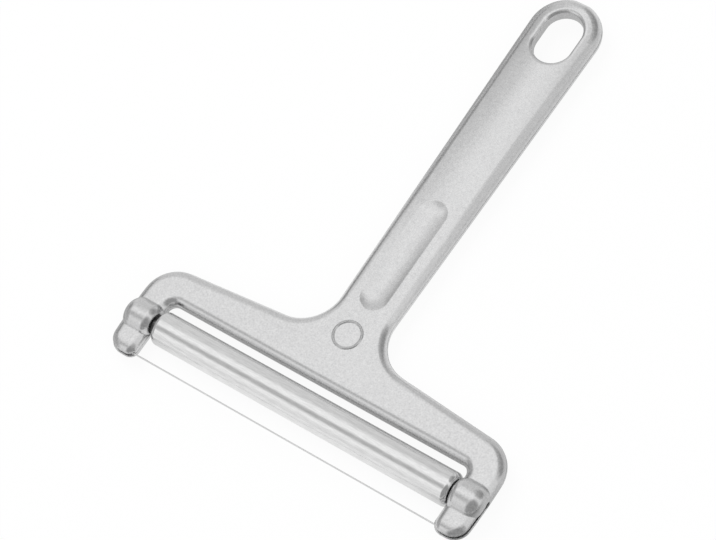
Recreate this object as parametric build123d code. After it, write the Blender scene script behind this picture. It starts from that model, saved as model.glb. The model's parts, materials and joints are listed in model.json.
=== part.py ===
from build123d import *

import os
from math import radians, tan

# Roller cheese slicer: a die-cast handle and fork, a roller on a fixed axle, and a taut cutting wire.
#
# Every piece is drawn about the roller's axis, X along the roller, Y up the handle and Z out of the
# front face. place() then moves it so that the origin is on the ground under the slicer's middle.

# Casting, seen from the front
overall_length = 167.15
jaw_width = 109.1
arm_width = 10.0
tip_reach = 12.8
window_reach = 8.2
back_apex = 23.9
back_slope = 5.0
cheek_bulge = 0.6
handle_neck_width = 19.3
handle_end_width = 23.9
end_trim = 0.25

# Casting, corners in the same view
tip_outer_corner = 5.4
tip_inner_corner = 3.05
window_corner = 2.6
shoulder_corner = 11.0
neck_corner = 12.8

# Casting, through its thickness
casting_thickness = 4.9
front_round = 3.0
back_round = 1.6
tip_fall_reach = 8.25
tip_fall_radius = 9.0
crown_reach = 30.0
crown_rise = 0.3
crown_drop = 0.8
crown_steps = 4

# Hanging slot
slot_length = 18.2
slot_width = 12.5
slot_wall = 5.4
slot_round = 1.4
slot_draft = 2.0

# Thumb scoop and the raised ring below it
scoop_width = 9.4
scoop_length = 40.3
scoop_depth = 0.9
scoop_gap = 5.1
ring_diameter = 9.4
ring_width = 0.6
ring_height = 0.3
ring_reach = 25.0

# Bosses that carry the axle
boss_diameter = 11.3
boss_dome = 3.8
boss_inner_round = 2.6

# Axle and the staked grooves that hold it
axle_diameter = 3.0
axle_seat = 6.2
axle_chamfer = 0.3
axle_fit = 0.05
groove_end_gap = 0.2
stake_pinch = 0.3

# Roller tube and its end bushes
roller_diameter = 10.9
roller_play = 1.5
roller_wall = 0.8
roller_round = 1.5
roller_mouth = 7.8
thrust_gap = 0.1
bush_length = 7.0
bush_nose = 0.05
bush_fit = 0.05
bush_clearance = 0.05

# Cutting wire, the slots that guide it and the barrels that anchor it
wire_diameter = 0.5
wire_reach = 11.1
wire_slot_width = 1.2
barrel_diameter = 2.0
barrel_length = 1.5
barrel_reach = 1.25
barrel_fit = 0.05
barrel_floor_gap = 0.05
wire_fit = 0.02

# How far a cutting solid runs past what it cuts
overrun = 2.0

half_thickness = casting_thickness / 2
jaw_half = jaw_width / 2
head_half = jaw_half + arm_width
handle_top = overall_length - tip_reach
end_radius = handle_end_width / 2
end_centre = handle_top + end_trim - end_radius
roller_radius = roller_diameter / 2
axle_radius = axle_diameter / 2
wire_radius = wire_diameter / 2

# The slots are as deep as it takes to bring the wire to its height below the axle.
wire_slot_depth = tip_reach - wire_reach + wire_radius
wire_side = head_half - wire_slot_depth + wire_radius
wire_turn = tip_outer_corner - wire_slot_depth + wire_radius

# The roller rests against the right arm, and the rest of its play is on the left.
roller_length = jaw_width - roller_play
roller_shift = jaw_half - thrust_gap - bush_nose - roller_length / 2


def corner(face, x, y):
    """The corner of a flat face nearest to a point."""
    return face.vertices().sort_by_distance((x, y, 0))[0]


def both_sides(piece):
    """A piece and its mirror image in the plane X = 0."""
    return [piece, mirror(piece, about=Plane.YZ)]


def along_x(radius, length, start):
    """A round bar along X that begins at start."""
    return Pos(start + length / 2, 0, 0) * Rot(0, 90, 0) * Cylinder(radius, length)


def casting_outline():
    """The casting's outline on its parting plane, without the hanging slot."""
    slope = tan(radians(back_slope))
    taper = (handle_end_width - handle_neck_width) / 2 / (end_centre - back_apex)
    shoulder = (head_half, back_apex - slope * head_half)
    neck_x = handle_neck_width / 2 / (1 + taper * slope)
    neck = (neck_x, back_apex - slope * neck_x)
    tip_outer = (head_half, -tip_reach)
    tip_inner = (jaw_half, -tip_reach)
    window = (jaw_half, window_reach)
    end = (end_radius, end_centre)
    cheek = (head_half + cheek_bulge, 0)

    half = Polyline((0, window_reach), window, tip_inner, tip_outer)
    half += ThreePointArc(tip_outer, cheek, shoulder)
    half += Polyline(shoulder, neck, end, (0, end_centre), (0, window_reach))
    face = make_face(half)
    rounds = [
        (tip_inner, tip_inner_corner),
        (tip_outer, tip_outer_corner),
        (window, window_corner),
        (shoulder, shoulder_corner),
        (neck, neck_corner),
    ]
    for point, radius in rounds:
        face = fillet(corner(face, *point), radius)
    face = face + mirror(face, about=Plane.YZ) + Pos(0, end_centre) * Circle(end_radius)
    keep = Rectangle(2 * (head_half + overrun), overall_length, align=(Align.CENTER, Align.MAX))
    return face & Pos(0, handle_top) * keep


def head_block():
    """The space under the head's front face, which is flat and falls away in an arc at the tips."""
    length = crown_reach + tip_fall_reach + tip_fall_radius
    block = Box(
        2 * (head_half + overrun),
        length,
        tip_fall_radius + overrun,
        align=(Align.CENTER, Align.MAX, Align.MAX),
    )
    block = Pos(0, crown_reach, half_thickness) * block
    front_edges = block.edges().filter_by(Axis.X).group_by(Axis.Z)[-1]
    return fillet(front_edges.sort_by(Axis.Y)[0], tip_fall_radius)


def crown_section(share):
    """The upright section of the handle's block, at a share of the way to the hanging end."""
    side = end_radius + overrun
    crest = half_thickness + crown_rise * share**2
    low = crest - crown_drop * (side / end_radius) ** 2 * share**2
    base = -2 * overrun
    arch = Bezier((-side, low), (0, 2 * crest - low), (side, low))
    sides = Polyline((side, low), (side, base), (-side, base), (-side, low))
    y = crown_reach + (handle_top - crown_reach) * share
    upright = Plane(origin=(0, y, 0), x_dir=(1, 0, 0), z_dir=(0, -1, 0))
    return upright * make_face(arch + sides)


def handle_block():
    """The space under the handle's front face, flat at the crossbar and arched at the other end."""
    beyond = 1 + overrun / (handle_top - crown_reach)
    shares = [step / crown_steps for step in range(crown_steps + 1)]
    return loft([crown_section(share) for share in shares + [beyond]])


def slotted(half, height):
    """A half casting with its share of the hanging slot, which is drafted and has a round mouth."""
    slot_face = Pos(0, handle_top - slot_wall - slot_length / 2) * Rot(0, 0, 90)
    slot_face *= SlotOverall(slot_length, slot_width)
    half -= extrude(slot_face, amount=height, taper=-slot_draft)
    holed = half.faces().filter_by(lambda face: len(face.inner_wires()) > 0)
    return fillet(holed.sort_by(Axis.Z)[-1].inner_wires()[0].edges(), slot_round)


def front_half(outline):
    """The front half of the bare casting. Its round rim reaches down to the parting plane."""
    height = half_thickness + crown_rise
    deep = Pos(0, 0, -2 * overrun) * extrude(outline, amount=2 * overrun + height)
    body = deep & (head_block() + handle_block())
    rim = set()
    for face in body.faces().filter_by(lambda face: face.normal_at(None).Z > 1 / 2):
        rim = rim ^ set(face.edges())
    body = fillet(rim, front_round)
    above = Box(2 * overall_length, 2 * overall_length, height, align=(Align.CENTER, Align.CENTER, Align.MIN))
    return slotted(body & above, height)


def back_half(outline):
    """The back half, drawn face up. It is flat, with a smaller round along its rim."""
    body = extrude(outline, amount=half_thickness)
    rim = body.faces().sort_by(Axis.Z)[-1].outer_wire().edges()
    return slotted(fillet(rim, back_round), half_thickness)


def boss():
    """The right arm's half-round boss on the front face, domed at its outer end."""
    length = head_half + cheek_bulge - jaw_half
    bar = along_x(boss_diameter / 2, length, jaw_half)
    ends = bar.edges().filter_by(GeomType.CIRCLE).sort_by(Axis.X)
    bar = fillet(ends[-1], boss_dome)
    ends = bar.edges().filter_by(GeomType.CIRCLE).sort_by(Axis.X)
    bar = fillet(ends[0], boss_inner_round)
    front = Box(2 * head_half, boss_diameter, boss_diameter, align=(Align.CENTER, Align.CENTER, Align.MIN))
    return bar & Pos(jaw_half, 0, 0) * front


def axle_groove():
    """The right arm's seat for the axle: a bore along X whose mouth at the back is pinched shut."""
    radius = axle_radius + axle_fit
    length = axle_seat + groove_end_gap + overrun
    start = jaw_half - overrun
    mouth = Box(
        length,
        axle_diameter - 2 * stake_pinch,
        half_thickness + overrun,
        align=(Align.MIN, Align.CENTER, Align.MAX),
    )
    return along_x(radius, length, start) + Pos(start, 0, 0) * mouth


def wire_slot():
    """The slot round the right arm's tip that guides the wire, and the barrel's pocket at its end."""
    far = head_half + cheek_bulge + overrun
    side = head_half - wire_slot_depth
    floor = -tip_reach + wire_slot_depth
    near = jaw_half - overrun
    below = -tip_reach - overrun
    points = [(near, below), (far, below), (far, barrel_reach), (side, barrel_reach), (side, floor), (near, floor)]
    face = make_face(Polyline(*points, close=True))
    face = fillet(corner(face, side, floor), tip_outer_corner - wire_slot_depth)
    slot = extrude(face, amount=wire_slot_width / 2, both=True)
    start = wire_side - barrel_length / 2 - barrel_floor_gap
    pocket = along_x(barrel_diameter / 2 + barrel_fit, far - start, start)
    return slot + Pos(0, barrel_reach, 0) * pocket


def thumb_scoop():
    """The shallow trough in the handle's face, part of a round bar with ball ends."""
    radius = (scoop_width**2 / 4 + scoop_depth**2) / (2 * scoop_depth)
    low = ring_reach + ring_diameter / 2 + scoop_gap + scoop_width / 2
    run = scoop_length - scoop_width
    height = half_thickness - scoop_depth + radius
    bar = Pos(0, low + run / 2, height) * Rot(90, 0, 0) * Cylinder(radius, run)
    for y in (low, low + run):
        bar += Pos(0, y, height) * Sphere(radius)
    return bar


def raised_ring():
    """The plain ring that stands on the crossbar."""
    face = Circle(ring_diameter / 2) - Circle(ring_diameter / 2 - ring_width)
    return Pos(0, ring_reach, half_thickness) * extrude(face, amount=ring_height)


def frame():
    """The casting: handle, crossbar, arms, bosses, scoop, ring, axle grooves and wire slots."""
    outline = casting_outline()
    body = front_half(outline) + mirror(back_half(outline), about=Plane.XY)
    body += both_sides(boss())
    body -= thumb_scoop()
    body += raised_ring()
    body -= both_sides(axle_groove())
    return body - both_sides(wire_slot())


def axle():
    """The steel rod that lies in both grooves and never turns."""
    length = jaw_width + 2 * axle_seat
    return chamfer(along_x(axle_radius, length, -length / 2).edges().filter_by(GeomType.CIRCLE), axle_chamfer)


def roller_tube():
    """The roller's steel tube, its ends spun in over the bushes."""
    start = roller_shift - roller_length / 2
    outer = along_x(roller_radius, roller_length, start)
    outer = fillet(outer.edges().filter_by(GeomType.CIRCLE), roller_round)
    inner = along_x(roller_radius - roller_wall, roller_length - 2 * roller_wall, start + roller_wall)
    inner = chamfer(inner.edges().filter_by(GeomType.CIRCLE), roller_round - roller_wall)
    mouth = along_x(roller_mouth / 2, roller_length + 2 * overrun, start - overrun)
    return outer - inner - mouth


def roller_bush():
    """The left bush: a plug inside the tube with a nose that comes out through the tube's mouth."""
    start = roller_shift - roller_length / 2
    plug_start = start + roller_wall + bush_clearance
    plug = along_x(roller_radius - roller_wall - bush_fit, bush_length - bush_clearance, plug_start)
    edge = plug.edges().filter_by(GeomType.CIRCLE).sort_by(Axis.X)[0]
    plug = chamfer(edge, roller_round - roller_wall)
    nose = along_x(roller_mouth / 2 - bush_fit, bush_length, start - bush_nose)
    bore = along_x(axle_radius + axle_fit, bush_length + 2 * overrun, start - overrun)
    return plug + nose - bore


def right_bush():
    """The same bush in the tube's other end."""
    return mirror(roller_bush(), about=Plane.YZ.offset(roller_shift))


def wire_path():
    """The wire's route from one barrel, round both tips and across the jaw, to the other barrel."""
    route = [
        (-wire_side, barrel_reach),
        (-wire_side, -wire_reach),
        (wire_side, -wire_reach),
        (wire_side, barrel_reach),
    ]
    return FilletPolyline(*route, radius=wire_turn)


def cutting_wire():
    """The taut steel wire, one length from barrel to barrel."""
    path = wire_path()
    section = Plane(origin=path @ 0, z_dir=path % 0) * Circle(wire_radius)
    return sweep(section, path=path)


def wire_barrel():
    """The barrel clamped on the wire's right end, bored from below for the wire."""
    start = wire_side - barrel_length / 2
    barrel = Pos(0, barrel_reach, 0) * along_x(barrel_diameter / 2, barrel_length, start)
    hole = Cylinder(wire_radius + wire_fit, barrel_diameter, align=(Align.CENTER, Align.CENTER, Align.MIN))
    return barrel - Pos(wire_side, barrel_reach, 0) * Rot(90, 0, 0) * hole


def place(piece):
    """Moves a piece from the roller's axis to the part's own frame."""
    middle = (handle_top - tip_reach) / 2
    return Pos(0, -middle, roller_radius) * piece


def main():
    os.makedirs("parts", exist_ok=True)
    barrel = wire_barrel()
    pieces = {
        "frame": frame(),
        "axle": axle(),
        "roller_tube": roller_tube(),
        "roller_bush_left": roller_bush(),
        "roller_bush_right": right_bush(),
        "cutting_wire": cutting_wire(),
        "wire_barrel_left": mirror(barrel, about=Plane.YZ),
        "wire_barrel_right": barrel,
    }
    for name, piece in pieces.items():
        solid = place(piece)
        export_step(solid, os.path.join("parts", name + ".step"))
        print(name, len(solid.solids()), "solid,", round(solid.volume), "cubic mm")


main()
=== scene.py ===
# %% [markdown]
# # A roller cheese slicer
#
# The real tool is one die casting in satin aluminium, a steel roller that turns freely on a rod,
# and a thin steel wire stretched between the two arms. This lesson dresses the measured solids:
# it sets up the camera, the studio, and then one finish after another.

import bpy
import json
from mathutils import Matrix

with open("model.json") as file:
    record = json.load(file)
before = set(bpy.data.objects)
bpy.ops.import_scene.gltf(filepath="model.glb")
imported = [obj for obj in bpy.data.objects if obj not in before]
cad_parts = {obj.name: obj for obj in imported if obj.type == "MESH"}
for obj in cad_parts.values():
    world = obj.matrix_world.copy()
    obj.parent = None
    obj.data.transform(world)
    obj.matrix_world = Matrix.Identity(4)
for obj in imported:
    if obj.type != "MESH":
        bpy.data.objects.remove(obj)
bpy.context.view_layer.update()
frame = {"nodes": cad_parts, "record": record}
print("nodes:", sorted(frame["nodes"]))

# %% The rest of the imports, and the unit
import json
from math import cos, radians, sin

import bpy
from mathutils import Matrix, Vector

MM = 0.001
nodes = frame["nodes"]

# %% [markdown]
# ## The camera
#
# The slicer was photographed from about 0.8 m with a long lens, from above its lower right corner,
# and turned so that the handle runs up to the right. A place, a point to look at and a roll about
# the line of sight say all of that, and they are easier to change by hand than three angles.

# %% Camera
CAMERA_PLACE = Vector((332.5, -251.5, 721.6)) * MM
CAMERA_AIM = Vector((-10.59, -25.87, 5.45)) * MM
CAMERA_ROLL = radians(35.32)
CAMERA_LENS = 139.33


def aimed(place, aim, roll=0.0, up=Vector((0, 1, 0))):
    """The matrix of something at place that looks at aim, with up upwards before the roll."""
    back = (place - aim).normalized()
    right = up.cross(back).normalized()
    turn = Matrix((right, back.cross(right), back)).transposed()
    return Matrix.Translation(place) @ (turn @ Matrix.Rotation(roll, 3, "Z")).to_4x4()


photo_view = aimed(CAMERA_PLACE, CAMERA_AIM, CAMERA_ROLL)
camera = bpy.data.objects.new("camera", bpy.data.cameras.new("camera"))
camera.data.lens = CAMERA_LENS
camera.matrix_world = photo_view
bpy.context.scene.collection.objects.link(camera)
bpy.context.scene.camera = camera
bpy.context.scene.view_settings.view_transform = "Standard"
print("camera distance:", round((CAMERA_PLACE - CAMERA_AIM).length, 3), "m")

# %% [markdown]
# ## Helpers for node trees
#
# Every finish here is a small tree of nodes. Writing each link by hand hides what matters, so a few
# helpers keep the trees short. Some add a node with its settings and give the socket that is used
# next. The others start a material, or a node group with named inputs and outputs that several
# materials can share.


# %% Node helpers
def add(tree, kind, inputs=None, **settings):
    """A new node of that kind. An input is a constant, or a socket to link from."""
    node = tree.nodes.new(kind)
    for name, value in settings.items():
        setattr(node, name, value)
    for name, value in (inputs or {}).items():
        if isinstance(value, bpy.types.NodeSocket):
            tree.links.new(value, node.inputs[name])
        else:
            node.inputs[name].default_value = value
    return node


def maths(tree, operation, *values):
    """The result of a maths node, with constants or sockets as its inputs."""
    return add(tree, "ShaderNodeMath", dict(enumerate(values)), operation=operation).outputs[0]


def map_range(tree, value, from_min, from_max, to_min, to_max, curve="LINEAR"):
    """That value, carried over from one range to another."""
    ends = {"From Min": from_min, "From Max": from_max, "To Min": to_min, "To Max": to_max}
    settings = {"interpolation_type": curve}
    return add(tree, "ShaderNodeMapRange", {"Value": value, **ends}, **settings).outputs[0]


def soft_step(tree, value, softness, inside, outside):
    """A level that goes softly from inside to outside as the value passes 1."""
    return map_range(tree, value, 1 - softness, 1 + softness, inside, outside, "SMOOTHSTEP")


def new_group(name, inputs, outputs):
    """An empty node group with float inputs {name: default} and float outputs [name]."""
    group = bpy.data.node_groups.new(name, "ShaderNodeTree")
    for socket, default in inputs.items():
        given = group.interface.new_socket(socket, in_out="INPUT", socket_type="NodeSocketFloat")
        given.default_value = default
    for socket in outputs:
        group.interface.new_socket(socket, in_out="OUTPUT", socket_type="NodeSocketFloat")
    return group, group.nodes.new("NodeGroupInput"), group.nodes.new("NodeGroupOutput")


def new_material(name):
    """A material with an empty tree, its tree and its output node."""
    material = bpy.data.materials.new(name)
    material.use_nodes = True
    tree = material.node_tree
    tree.nodes.clear()
    return material, tree, tree.nodes.new("ShaderNodeOutputMaterial")


# %% [markdown]
# ## The studio in a chrome ball
#
# Metal shows its surroundings more than its own colour, so they are planned as a lighting artist
# would record them: as the picture in a small chrome ball that stands where the slicer is. In that
# picture the middle is the camera, x runs to the right, y runs up, and the rim is what is behind
# the ball. A direction d is found at d.right and d.up, both divided by sqrt(2 + 2 d.towards).
#
# The photograph's surround is white with soft grey gaps. A large one on the camera's side reaches
# down, one is at the upper right, and one at the left has a slit beside it. They make the dark
# patches on the round edges and the long dark line on the roller. Three faint ones do the rest.
# Each is a soft ellipse of the picture, which takes one line of numbers to move or to resize.

# %% Gaps in the surround
WHITE = (1.0, 1.0, 1.0, 1.0)
SURROUND_LIGHT = 0.75

# Each gap: middle x and y, half sizes along x and y, tilt in degrees, softness, level
GAPS = {
    "camera": (0.02, -0.55, 0.485, 0.71, 8, 0.13, 0.335),
    "upper_right": (0.36, 0.36, 0.41, 0.19, -40, 0.25, 0.45),
    "right": (0.68, 0.12, 0.27, 1.50, 18, 0.30, 0.73),
    "left": (-0.84, 0.20, 0.345, 0.95, -16, 0.08, 0.46),
    "above": (-0.05, 0.74, 0.85, 0.18, 18, 0.30, 0.73),
    "slit": (-0.385, 0.145, 0.10, 0.125, -16, 0.60, 0.52),
    "lower_left": (-0.60, -0.33, 0.14, 0.16, 0, 0.80, 0.82),
}


def gap_level(tree, x, y, middle_x, middle_y, half_x, half_y, tilt, softness, level):
    """1 outside a soft ellipse of a picture and its level inside."""
    turn, lean = cos(radians(tilt)), sin(radians(tilt))
    aside, above = maths(tree, "SUBTRACT", x, middle_x), maths(tree, "SUBTRACT", y, middle_y)
    along = maths(tree, "MULTIPLY", above, lean / half_x)
    along = maths(tree, "MULTIPLY_ADD", aside, turn / half_x, along)
    across = maths(tree, "MULTIPLY", above, turn / half_y)
    across = maths(tree, "MULTIPLY_ADD", aside, -lean / half_y, across)
    square = maths(tree, "MULTIPLY_ADD", along, along, maths(tree, "MULTIPLY", across, across))
    return soft_step(tree, maths(tree, "SQRT", square), softness, level, 1.0)


def with_gaps(tree, x, y, gaps, level):
    """That level times all the gaps."""
    for gap in gaps.values():
        level = maths(tree, "MULTIPLY", level, gap_level(tree, x, y, *gap))
    return level


# %% The surround
BEHIND_THE_BALL = 0.001  # keeps the division below from reaching zero at the picture's rim


def ball_picture(tree):
    """The x and y at which a direction shows in the chrome ball, as two sockets."""
    where = add(tree, "ShaderNodeTexCoord").outputs["Generated"]
    shares = []
    for axis in photo_view.to_3x3().transposed():
        dot = add(tree, "ShaderNodeVectorMath", {0: where, 1: tuple(axis)}, operation="DOT_PRODUCT")
        shares.append(dot.outputs["Value"])
    right, up, towards = shares
    square = maths(tree, "MULTIPLY_ADD", towards, 2.0, 2.0)
    size = maths(tree, "SQRT", maths(tree, "MAXIMUM", square, BEHIND_THE_BALL))
    return maths(tree, "DIVIDE", right, size), maths(tree, "DIVIDE", up, size)


def seen_or_mirrored(tree):
    """1 for a ray that shows the background directly, and 1 for a ray off a glossy surface."""
    path = add(tree, "ShaderNodeLightPath").outputs
    seen = maths(tree, "MAXIMUM", path["Is Camera Ray"], path["Is Transmission Ray"])
    return seen, path["Is Glossy Ray"]


world = bpy.data.worlds.new("studio")
world.use_nodes = True
bpy.context.scene.world = world
tree = world.node_tree
tree.nodes.clear()
picture = with_gaps(tree, *ball_picture(tree), GAPS, 1.0)
seen, mirrored = seen_or_mirrored(tree)
shown = maths(tree, "MULTIPLY_ADD", mirrored, picture, seen)
rest = maths(tree, "SUBTRACT", 1.0, maths(tree, "MAXIMUM", seen, mirrored))
level = maths(tree, "MULTIPLY_ADD", rest, SURROUND_LIGHT, shown)
surround = add(tree, "ShaderNodeBackground", {"Color": WHITE, "Strength": level})
add(tree, "ShaderNodeOutputWorld", {"Surface": surround.outputs[0]})
print(len(GAPS), "gaps in a white surround that gives", SURROUND_LIGHT, "of white as light")

# %% [markdown]
# ## The floor
#
# The floor is white where the camera sees it, with a little of the slicer's shadow. In the metal it
# shows with painted shadows in its glow: greyer beside the slicer, dark on the camera's side, and
# shaded in the window behind the roller and in the slot. These painted shades are soft ellipses on
# the floor, and only mirrors show them.

# %% Floor
FLOOR_SIZE = 6.0
FLOOR_COLOUR = (0.93, 0.93, 0.93, 1.0)
FLOOR_SHADOW_SHARE = 0.08
FLOOR_MIRROR_LEVEL = 0.92

# Each painted shade: middle x and y in mm, half sizes along x and y in mm, tilt, softness, level
PAINTED_SHADES = {
    "near_side": (135, -142, 100, 80, 0, 0.25, 0.25),
    "right_side": (115, 45, 95, 140, 0, 0.40, 0.62),
    "left_side": (-80, 60, 70, 85, 0, 0.30, 0.60),
    "left_arm": (-130, -82, 68, 55, 0, 0.40, 0.48),
    "window": (0, -64, 62, 7, 0, 0.30, 0.60),
    "slot": (0, 69, 8, 11, 0, 0.30, 0.74),
}


def plane(name, width, height):
    """A flat rectangle in its own XY plane."""
    mesh = bpy.data.meshes.new(name)
    x, y = width / 2, height / 2
    mesh.from_pydata([(-x, -y, 0), (x, -y, 0), (x, y, 0), (-x, y, 0)], [], [(0, 1, 2, 3)])
    obj = bpy.data.objects.new(name, mesh)
    bpy.context.scene.collection.objects.link(obj)
    return obj


def pale_floor():
    """White paper, which glows for the camera, glows with painted shades for mirrors, and takes
    light for the rest.
    """
    material, tree, out = new_material("pale_floor")
    place = add(tree, "ShaderNodeNewGeometry").outputs["Position"]
    spot = add(tree, "ShaderNodeSeparateXYZ", {"Vector": place})
    aside, ahead = (maths(tree, "DIVIDE", spot.outputs[axis], MM) for axis in "XY")
    # the glow that mirrors see is darkened by the painted shades
    level = with_gaps(tree, aside, ahead, PAINTED_SHADES, FLOOR_MIRROR_LEVEL)
    seen, mirrored = seen_or_mirrored(tree)
    share = maths(tree, "MAXIMUM", seen, mirrored)
    share = maths(tree, "MULTIPLY", share, 1 - FLOOR_SHADOW_SHARE)
    strength = maths(tree, "MULTIPLY_ADD", mirrored, level, seen)
    paint = add(tree, "ShaderNodeBsdfDiffuse", {"Color": FLOOR_COLOUR})
    glow = add(tree, "ShaderNodeEmission", {"Color": WHITE, "Strength": strength})
    mix = add(tree, "ShaderNodeMixShader", {0: share, 1: paint.outputs[0], 2: glow.outputs[0]})
    tree.links.new(mix.outputs[0], out.inputs["Surface"])
    return material


floor = plane("floor", FLOOR_SIZE, FLOOR_SIZE)
floor.data.materials.append(pale_floor())
print("floor", FLOOR_SIZE, "m square with", len(PAINTED_SHADES), "shades for the metal")

# %% [markdown]
# ## Lamps
#
# The metal lives on the surround, so the lamps are there for what is no mirror: the floor, which
# takes the slicer's soft shadow, and the bushes. One large softbox stands above and to the left, and
# a weaker one at the right opens the shadow. They are big and near, so it has no hard edge. Metal
# doesn't show them, because the chrome ball's picture already says all that it shows.

# %% Softboxes
STUDIO_MIDDLE = Vector((0, 0, 5.45)) * MM
SOFTBOX_SIZE = 0.9

# Each softbox: its place in metres and its power in watts
SOFTBOXES = {
    "softbox_left": ((-0.7, 0.3, 1.2), 6.0),
    "softbox_right": ((0.9, -0.4, 0.9), 2.5),
}


def softbox(name, place, power):
    """A square area lamp aimed at the slicer."""
    lamp = bpy.data.lights.new(name, "AREA")
    lamp.shape = "SQUARE"
    lamp.size = SOFTBOX_SIZE
    lamp.energy = power
    obj = bpy.data.objects.new(name, lamp)
    obj.matrix_world = aimed(Vector(place), STUDIO_MIDDLE)
    obj.visible_glossy = False
    bpy.context.scene.collection.objects.link(obj)


for name, (place, power) in SOFTBOXES.items():
    softbox(name, place, power)
    print(name, "of", power, "W")

# %% [markdown]
# ## Grain of the casting
#
# A die casting that has been tumbled has a fine, even grain like frosted glass, with slightly
# cloudy patches. Noise at three sizes gives that: the grain itself, a coarser ripple, and clouds.
# A picture of a casting would show its tiles on so plain a face, and noise has none. One group
# holds it, with a height for the bumps and a tone for the colour.

# %% Grain group
grain_group, given, made = new_group(
    "cast_grain",
    {"Grain Size": 0.45 * MM, "Ripple Size": 1.1 * MM, "Cloud Size": 14 * MM},
    ["Height", "Tone"],
)
LAYERS = ("Grain", "Ripple", "Cloud")
HEIGHT_SHARES = (0.5, 0.5)  # the clouds lie flat
TONE_SHARES = (1.4, 0.6, 0.2)
TONE_BASE = -0.6


def noise(tree, size):
    """Noise whose blots are about that size."""
    where = add(tree, "ShaderNodeTexCoord").outputs["Object"]
    scale = maths(tree, "DIVIDE", 1.0, size)
    return add(tree, "ShaderNodeTexNoise", {"Vector": where, "Scale": scale}).outputs["Fac"]


def weighted(tree, layers, shares, total):
    """That total plus each layer times its share."""
    for layer, share in zip(layers, shares):
        total = maths(tree, "MULTIPLY_ADD", layer, share, total)
    return total


noises = [noise(grain_group, given.outputs[name + " Size"]) for name in LAYERS]
height = weighted(grain_group, noises, HEIGHT_SHARES, 0.0)
tone = weighted(grain_group, noises, TONE_SHARES, TONE_BASE)
grain_group.links.new(height, made.inputs["Height"])
grain_group.links.new(tone, made.inputs["Tone"])
print("grain from", len(noises), "noises")

# %% [markdown]
# ## The swell of the handle
#
# The handle's face is not quite flat: it falls away towards its two edges, ever faster, and more so
# towards the hanging slot. The outline hides that, and the solid has only a little of it. Yet it
# bends the mirrored studio, so a parabola across the handle is added to the height of the bumps.

# %% Swell group
SWELL_FALL = 2.2 * MM
SWELL_FROM, SWELL_TO = -40 * MM, 45 * MM
SWELL_HALF_WIDTH = 11.95 * MM

swell_group, given, made = new_group("handle_swell", {"Fall": SWELL_FALL}, ["Height"])
where = add(swell_group, "ShaderNodeTexCoord").outputs["Object"]
spot = add(swell_group, "ShaderNodeSeparateXYZ", {"Vector": where})
ramp = map_range(swell_group, spot.outputs["Y"], SWELL_FROM, SWELL_TO, 0.0, -1.0, "SMOOTHSTEP")
aside = maths(swell_group, "DIVIDE", spot.outputs["X"], SWELL_HALF_WIDTH)
height = maths(swell_group, "MULTIPLY", maths(swell_group, "MULTIPLY", aside, aside), ramp)
height = maths(swell_group, "MULTIPLY", height, given.outputs["Fall"])
swell_group.links.new(height, made.inputs["Height"])
print("by the slot the edges fall by", SWELL_FALL / MM, "mm")

# %% [markdown]
# ## The dark ring line
#
# The thin raised ring on the crossbar gets a painted shade, which makes it read as a darker line
# than the casting around it. The group gives 1 on the ring and 0 elsewhere.

# %% Ring group
RING_MIDDLE = Vector((0, -45.775, 0)) * MM
RING_RADIUS = 4.4 * MM
RING_HALF_WIDTH = 0.25 * MM
RING_SOFTNESS = 0.3

ring_group, given, made = new_group("ring_line", {"Half Width": RING_HALF_WIDTH}, ["On Ring"])
where = add(ring_group, "ShaderNodeTexCoord").outputs["Object"]
flat = add(ring_group, "ShaderNodeVectorMath", {0: where, 1: (1, 1, 0)}, operation="MULTIPLY")
pair = {0: flat.outputs[0], 1: RING_MIDDLE}
far = add(ring_group, "ShaderNodeVectorMath", pair, operation="DISTANCE").outputs["Value"]
off = maths(ring_group, "ABSOLUTE", maths(ring_group, "SUBTRACT", far, RING_RADIUS))
off = maths(ring_group, "DIVIDE", off, given.outputs["Half Width"])
ring_group.links.new(soft_step(ring_group, off, RING_SOFTNESS, 1.0, 0.0), made.inputs["On Ring"])
print("ring line of radius", RING_RADIUS / MM, "mm")

# %% [markdown]
# ## What the metals share
#
# Every metal here ends in the same three nodes: a bump, the surface and the output. The noises that
# vary them mostly lie between 0.3 and 0.7, so that range is stretched to the one that is wanted.

# %% Metal helpers
NOISE_LOW, NOISE_HIGH = 0.3, 0.7

# A Mix node has sockets of its own for numbers, vectors and colours. These take colours.
FACTOR, COLOUR_A, COLOUR_B, COLOUR_OUT = 0, 6, 7, 2


def stretched(tree, noise, low, high):
    """That noise, stretched to run from low to high."""
    return map_range(tree, noise, NOISE_LOW, NOISE_HIGH, low, high)


def mixed(tree, factor, first, second, blend="MIX"):
    """Two colours mixed by that factor."""
    sockets = {FACTOR: factor, COLOUR_A: first, COLOUR_B: second}
    node = add(tree, "ShaderNodeMix", sockets, data_type="RGBA", blend_type=blend)
    return node.outputs[COLOUR_OUT]


def metal_surface(tree, out, colour, roughness, relief):
    """A metal with that colour and roughness. The relief holds the inputs of its bump."""
    bump = add(tree, "ShaderNodeBump", {"Distance": 1.0, **relief}).outputs[0]
    look = {"Base Color": colour, "Metallic": 1.0, "Roughness": roughness, "Normal": bump}
    metal = add(tree, "ShaderNodeBsdfPrincipled", look)
    tree.links.new(metal.outputs[0], out.inputs["Surface"])


# %% [markdown]
# ## Cast aluminium
#
# The three groups come together here. The tone of the grain goes from a darker to a lighter grey
# and also makes the surface a little rougher. A bevel in the shader softens the feet of the bosses,
# which a mould never leaves sharp.

# %% Cast aluminium
GRAIN_HEIGHT = 0.005 * MM
EDGE_SOFTNESS = 0.5 * MM
EDGE_SAMPLES = 6
CAST_DARK = (0.60, 0.60, 0.605, 1.0)
CAST_PALE = (0.84, 0.84, 0.84, 1.0)
CAST_ROUGHNESS = (0.22, 0.27)
# painted shade that darkens the raised ring
RING_PAINTED_SHADE = (0.74, 0.74, 0.74, 1.0)


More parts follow.
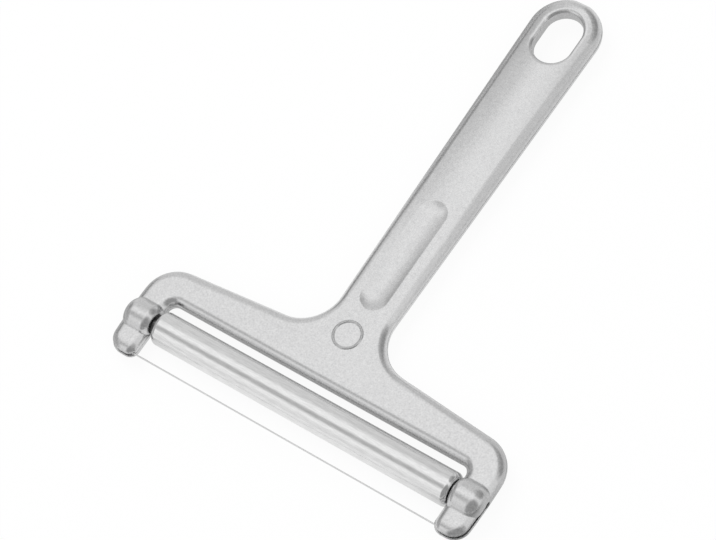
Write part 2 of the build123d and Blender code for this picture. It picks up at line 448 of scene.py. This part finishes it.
def cast_aluminium():
    """Satin die-cast aluminium, softened where two shapes meet."""
    material, tree, out = new_material("cast_aluminium")
    groups = (grain_group, swell_group, ring_group)
    grain, swell, ring = (add(tree, "ShaderNodeGroup", node_tree=group).outputs for group in groups)
    colour = mixed(tree, grain["Tone"], CAST_DARK, CAST_PALE)
    # the ring's colour is darkened by a painted shade
    colour = mixed(tree, ring["On Ring"], colour, RING_PAINTED_SHADE, "MULTIPLY")
    roughness = stretched(tree, grain["Tone"], *CAST_ROUGHNESS)
    height = maths(tree, "MULTIPLY_ADD", grain["Height"], GRAIN_HEIGHT, swell["Height"])
    soft = add(tree, "ShaderNodeBevel", {"Radius": EDGE_SOFTNESS}, samples=EDGE_SAMPLES)
    metal_surface(tree, out, colour, roughness, {"Height": height, "Normal": soft.outputs[0]})
    return material


# %% [markdown]
# ## Drawn steel
#
# The roller, the rod and the wire are drawn steel: fine streaks run along them, which change the
# tone, the roughness and, by a hair, the height. The same noise as in the casting gives them, once
# it is drawn out along X, so no strips have to be placed.

# %% Drawn steel
STREAK_HEIGHT = 0.002 * MM
STREAK_SCALE = 2200.0
STREAK_DETAIL = 2.0
DRAWN_OUT = (0.15, 1.0, 1.0)
ROUGHNESS_SPREAD = 0.1


def drawn_steel(name, tone, spread, roughness):
    """Steel with fine streaks along X, whose tone varies by that spread."""
    material, tree, out = new_material(name)
    where = add(tree, "ShaderNodeTexCoord").outputs["Object"]
    along = add(tree, "ShaderNodeVectorMath", {0: where, 1: DRAWN_OUT}, operation="MULTIPLY")
    streaks = {"Vector": along.outputs[0], "Scale": STREAK_SCALE, "Detail": STREAK_DETAIL}
    lines = add(tree, "ShaderNodeTexNoise", streaks).outputs["Fac"]
    colour = stretched(tree, lines, tone * (1 - spread), tone * (1 + spread))
    ends = roughness * (1 - ROUGHNESS_SPREAD), roughness * (1 + ROUGHNESS_SPREAD)
    height = maths(tree, "MULTIPLY", lines, STREAK_HEIGHT)
    metal_surface(tree, out, colour, stretched(tree, lines, *ends), {"Height": height})
    return material


# %% [markdown]
# ## Black plastic
#
# The bushes are matt black nylon. They show only as two dark slits, so the grain of the casting,
# used for their tone, is all the texture they need.

# %% Black plastic
PLASTIC_TONES = (0.012, 0.03)
PLASTIC_ROUGHNESS = 0.5


def black_plastic():
    """Matt moulded nylon of the bushes."""
    material, tree, out = new_material("bush_plastic")
    grain = add(tree, "ShaderNodeGroup", node_tree=grain_group)
    colour = map_range(tree, grain.outputs["Tone"], 0.0, 1.0, *PLASTIC_TONES)
    look = {"Base Color": colour, "Roughness": PLASTIC_ROUGHNESS}
    plastic = add(tree, "ShaderNodeBsdfPrincipled", look)
    tree.links.new(plastic.outputs[0], out.inputs["Surface"])
    return material


# %% [markdown]
# ## Dressing the solids
#
# The record says which material each solid has, so the finishes go by those names. The steels
# differ in tone, in how much it varies and in roughness: the roller is polished by its use, the
# rod is duller, and the wire is bright but too thin to mirror much.

# %% Dress the solids
finishes = {
    "cast_aluminium": cast_aluminium(),
    "roller_steel": drawn_steel("roller_steel", tone=0.81, spread=0.07, roughness=0.15),
    "axle_steel": drawn_steel("axle_steel", tone=0.70, spread=0.05, roughness=0.25),
    "wire_steel": drawn_steel("wire_steel", tone=0.80, spread=0.05, roughness=0.30),
    "bush_plastic": black_plastic(),
}
for entry in frame["record"]["subparts"]:
    mesh = nodes[entry["node"]].data
    mesh.materials.clear()
    mesh.materials.append(finishes[entry["material_slot"]])
    print(entry["node"], "gets", entry["material_slot"])
